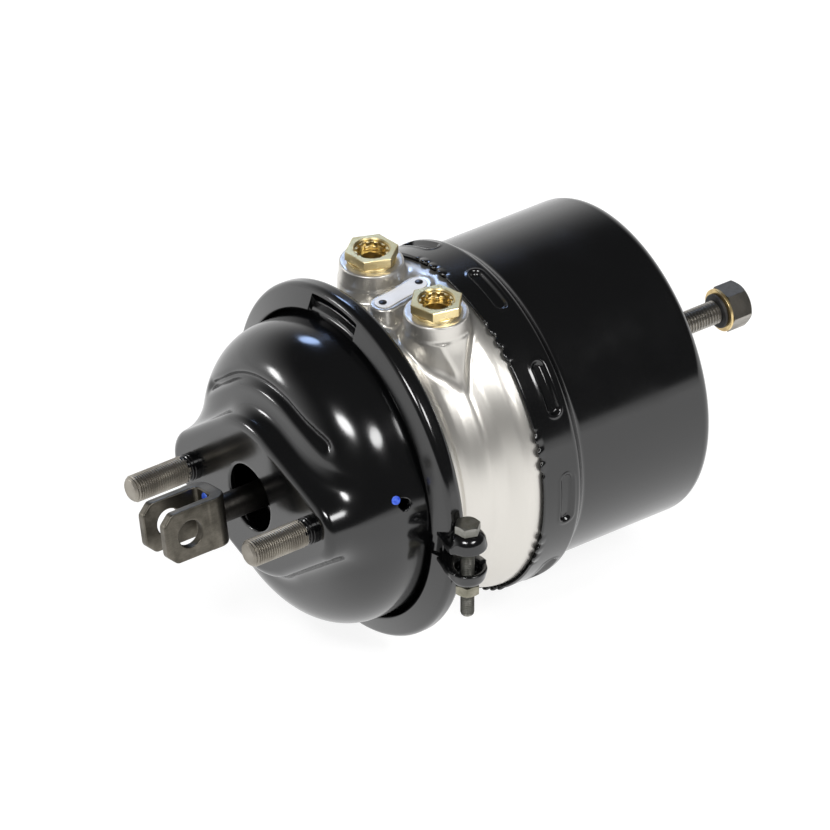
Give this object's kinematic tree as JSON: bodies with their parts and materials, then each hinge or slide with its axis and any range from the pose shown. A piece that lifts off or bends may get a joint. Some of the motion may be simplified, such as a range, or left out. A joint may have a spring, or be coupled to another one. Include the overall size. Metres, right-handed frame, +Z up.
{
  "type": "spring brake chamber",
  "caption": "Air brake chamber with clevis push rod, clamp ring, cast middle flange with two air ports, and a spring cylinder with its release bolt wound out.",
  "frame": {"origin": "centre of the mounting pad's face, on the chamber's axis", "axes": "+X along the chamber's axis towards the release bolt, +Z up through the air ports, the clamp bolt on the -Y side"},
  "size_m": [0.409, 0.2312, 0.2168],
  "materials": {
    "black_paint": "gloss black enamel",
    "stud_steel": "grey-brown phosphated thread",
    "clevis_steel": "oiled bright strip",
    "rod_steel": "turned steel",
    "plate_steel": "pressed steel",
    "spring_steel": "dark lacquered spring",
    "bolt_steel": "grey zinc plated",
    "release_nut_steel": "dark phosphated",
    "cast_aluminium": "matt casting",
    "brass": "turned brass",
    "label_aluminium": "anodised plate",
    "rivet_steel": "plain",
    "zinc_plate": "yellow zinc plated",
    "seal_rubber": "matt black",
    "diaphragm_rubber": "fabric-reinforced black",
    "bush_plastic": "filled nylon"
  },
  "bodies": {
    "chamber": {"front_housing": "black_paint", "mounting_studs": "stud_steel", "clamp_ring": "black_paint", "clamp_bolt": "bolt_steel", "clamp_nut": "bolt_steel", "intermediate_flange": "cast_aluminium", "port_fitting_service": "brass", "port_fitting_parking": "brass", "port_collets": "brass", "nameplate": "label_aluminium", "nameplate_rivets": "rivet_steel", "tube_guide_bush": "bush_plastic", "tube_seal": "seal_rubber", "spring_cylinder": "black_paint", "cylinder_seal": "seal_rubber", "release_bush": "bolt_steel", "diaphragm": "diaphragm_rubber", "return_spring": "spring_steel", "power_spring": "spring_steel"},
    "push_rod_assembly": {"push_rod": "rod_steel", "pressure_plate": "plate_steel", "clevis": "clevis_steel"},
    "piston_assembly": {"spring_piston": "cast_aluminium", "piston_seal": "seal_rubber", "piston_guide_ring": "bush_plastic", "piston_tube": "rod_steel", "tube_end_cap": "bush_plastic"},
    "thrust_bearing": {"thrust_bearing": "rod_steel"},
    "release_bolt_assembly": {"release_bolt": "bolt_steel", "release_nut": "release_nut_steel", "roll_pin": "rivet_steel", "release_washer": "zinc_plate", "release_seal": "seal_rubber"}
  },
  "joints": [
    {"name": "release_bolt_turn", "type": "hinge", "parent": "thrust_bearing", "child": "release_bolt_assembly", "pos_m": [0.33, 0, 0], "axis": [1, 0, 0], "range_deg": [0, 11520]},
    {"name": "release_bolt_travel", "type": "slide", "parent": "chamber", "child": "thrust_bearing", "axis": [-1, 0, 0], "range_m": [0, 0.064]},
    {"name": "spring_piston_stroke", "type": "slide", "parent": "chamber", "child": "piston_assembly", "axis": [-1, 0, 0], "range_m": [0, 0.064], "deforming": ["power_spring"]},
    {"name": "push_rod_stroke", "type": "slide", "parent": "chamber", "child": "push_rod_assembly", "axis": [-1, 0, 0], "range_m": [0, 0.064], "deforming": ["return_spring", "diaphragm"]}
  ],
  "couplings": [
    {"joint": "release_bolt_turn", "follows": "release_bolt_travel", "rad_per_m": 3141.6},
    {"joint": "spring_piston_stroke", "follows": "release_bolt_travel", "ratio": 1},
    {"joint": "push_rod_stroke", "follows": "release_bolt_travel", "ratio": 1}
  ]
}
